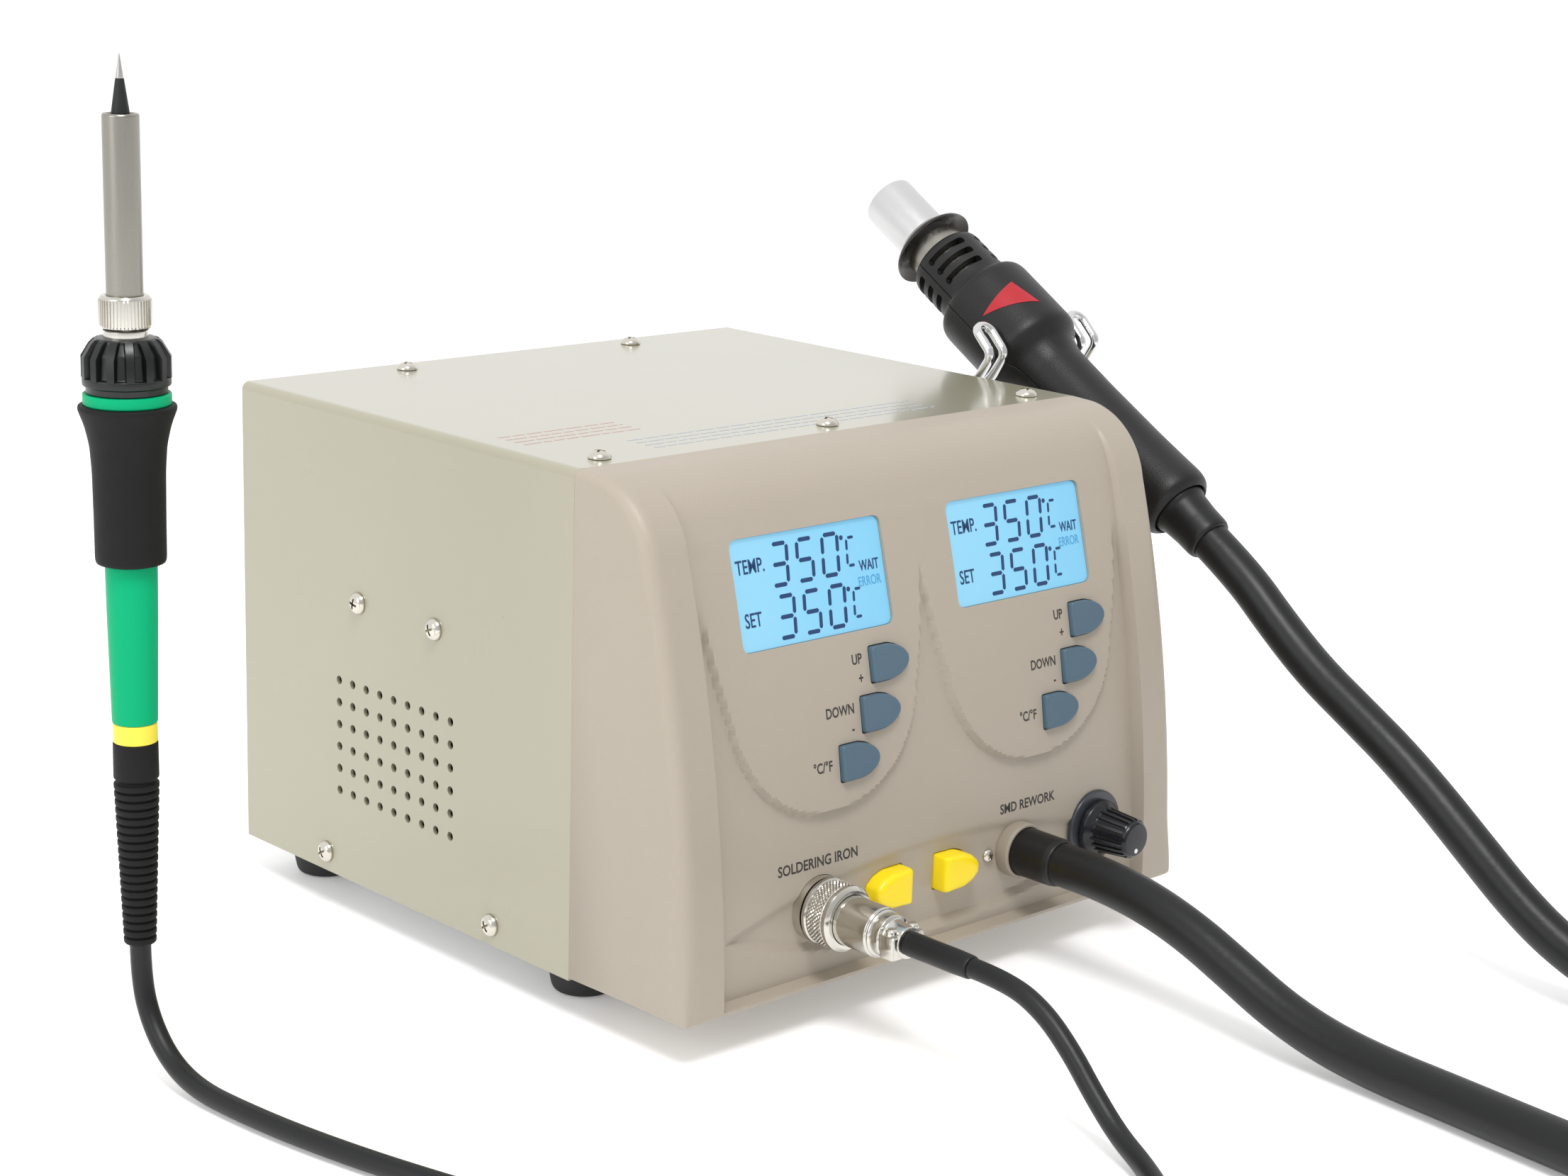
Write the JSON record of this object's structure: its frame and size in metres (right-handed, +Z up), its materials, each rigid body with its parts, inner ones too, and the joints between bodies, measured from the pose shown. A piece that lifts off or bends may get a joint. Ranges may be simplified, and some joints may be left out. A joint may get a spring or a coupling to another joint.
{
  "type": "soldering iron station",
  "caption": "Bench rework station: a sheet-metal case with a leaning display panel, a soldering iron on a cable and a hot-air gun on a hose in a wire cradle.",
  "frame": {"origin": "middle of the bottom of the box around the station, iron and gun, without the free cable and hose", "axes": "+Z up, front panel towards -Y, hot-air gun on the +X side"},
  "size_m": [0.3888, 0.5263, 0.2593],
  "materials": {
    "cover_paint": "gloss grey-green beige",
    "bezel_plastic": "fine texture",
    "black_rubber": "matte",
    "nickel": "polished",
    "steel_sheet": "plain",
    "display_glass": "backlit",
    "board_green": "solder mask",
    "key_grey": "satin",
    "button_yellow": "satin",
    "black_plastic": "satin",
    "dial_dark": "satin",
    "port_cream": "satin",
    "aluminium": "extruded",
    "iron_core": "laminated",
    "grip_rubber": "soft",
    "handle_green": "satin",
    "band_yellow": "satin",
    "ceramic": "fired",
    "tip_copper": "plated",
    "cable_black": "satin"
  },
  "bodies": {
    "station": {"case_screws": "nickel", "rubber_feet": "black_rubber", "top_cover": "cover_paint", "base_tray": "steel_sheet", "rear_panel": "cover_paint", "front_bezel": "bezel_plastic", "display_board": "board_green", "iron_display": "display_glass", "air_display": "display_glass", "iron_power_switch": "black_plastic", "air_power_switch": "black_plastic", "iron_socket": "nickel", "plug_body": "nickel", "plug_gland": "nickel", "plug_heat_shrink": "cable_black", "hose_port": "port_cream", "dial_plate": "dial_dark", "air_potentiometer": "steel_sheet", "main_board": "board_green", "heat_sink": "aluminium", "transformer": "iron_core", "pump_body": "black_plastic", "mains_inlet": "black_plastic", "fuse_holder": "black_plastic", "iron_cable": "cable_black", "air_hose": "cable_black", "iron_cable_coil": "cable_black", "air_hose_coil": "cable_black", "inner_air_tube": "port_cream", "cradle_bracket": "cover_paint", "cradle_wire": "nickel"},
    "gun": {"gun_nozzle": "steel_sheet", "gun_collar_disc": "black_plastic", "gun_inner_tube": "steel_sheet", "gun_heater_core": "ceramic", "gun_shell_upper": "grip_rubber", "gun_shell_lower": "grip_rubber", "gun_boot": "black_rubber"},
    "iron": {"iron_relief": "black_rubber", "iron_band": "band_yellow", "iron_handle": "handle_green", "iron_grip": "grip_rubber", "iron_trim_ring": "handle_green", "iron_collar": "black_plastic", "iron_barrel": "steel_sheet", "iron_heater": "ceramic", "iron_tip": "tip_copper"},
    "iron_nut": {"iron_nut": "nickel"},
    "iron_power_button": {"iron_power_button": "button_yellow"},
    "air_power_button": {"air_power_button": "button_yellow"},
    "air_knob": {"air_knob": "black_plastic"},
    "plug_ring": {"plug_ring": "nickel"},
    "pump_arm": {"pump_arm": "aluminium"},
    "iron_up_key": {"iron_up_key": "key_grey"},
    "iron_down_key": {"iron_down_key": "key_grey"},
    "iron_unit_key": {"iron_unit_key": "key_grey"},
    "air_up_key": {"air_up_key": "key_grey"},
    "air_down_key": {"air_down_key": "key_grey"},
    "air_unit_key": {"air_unit_key": "key_grey"}
  },
  "joints": [
    {"name": "iron_up_press", "type": "slide", "parent": "station", "child": "iron_up_key", "axis": [0, 0.9797, -0.2004], "range_m": [0, 0.001], "stiffness_N_per_m": 500, "springref_m": -0.001},
    {"name": "iron_down_press", "type": "slide", "parent": "station", "child": "iron_down_key", "axis": [0, 0.985, -0.1725], "range_m": [0, 0.001], "stiffness_N_per_m": 500, "springref_m": -0.001},
    {"name": "iron_unit_press", "type": "slide", "parent": "station", "child": "iron_unit_key", "axis": [0, 0.9892, -0.1467], "range_m": [0, 0.001], "stiffness_N_per_m": 500, "springref_m": -0.001},
    {"name": "air_up_press", "type": "slide", "parent": "station", "child": "air_up_key", "axis": [0, 0.9797, -0.2004], "range_m": [0, 0.001], "stiffness_N_per_m": 500, "springref_m": -0.001},
    {"name": "air_down_press", "type": "slide", "parent": "station", "child": "air_down_key", "axis": [0, 0.985, -0.1725], "range_m": [0, 0.001], "stiffness_N_per_m": 500, "springref_m": -0.001},
    {"name": "air_unit_press", "type": "slide", "parent": "station", "child": "air_unit_key", "axis": [0, 0.9892, -0.1467], "range_m": [0, 0.001], "stiffness_N_per_m": 500, "springref_m": -0.001},
    {"name": "iron_power_press", "type": "slide", "parent": "station", "child": "iron_power_button", "axis": [0, 1, 0], "range_m": [0, 0.0025], "stiffness_N_per_m": 600, "springref_m": -0.0015},
    {"name": "air_power_press", "type": "slide", "parent": "station", "child": "air_power_button", "axis": [0, 1, 0], "range_m": [0, 0.0025], "stiffness_N_per_m": 600, "springref_m": -0.0015},
    {"name": "air_knob_turn", "type": "hinge", "parent": "station", "child": "air_knob", "pos_m": [0.09878, -0.10195, 0.0325], "axis": [0, -1, 0], "range_deg": [-140, 140]},
    {"name": "plug_ring_turn", "type": "hinge", "parent": "station", "child": "plug_ring", "pos_m": [-0.01422, -0.10195, 0.0325], "axis": [0, -1, 0], "continuous": true},
    {"name": "pump_arm_swing", "type": "hinge", "parent": "station", "child": "pump_arm", "pos_m": [0.05578, 0.07045, 0.0565], "axis": [0, 0, 1], "range_deg": [-2, 2], "stiffness_Nm_per_rad": 0.6},
    {"name": "gun_lift", "type": "slide", "parent": "station", "child": "gun", "axis": [0, 0, 1], "range_m": [0, 0.1]},
    {"name": "iron_lift", "type": "slide", "parent": "station", "child": "iron", "axis": [0, 0, 1], "range_m": [0, 0.12]},
    {"name": "iron_nut_turn", "type": "hinge", "parent": "iron", "child": "iron_nut", "pos_m": [-0.17322, -0.00955, 0.197], "axis": [0, 0, 1], "continuous": true}
  ]
}
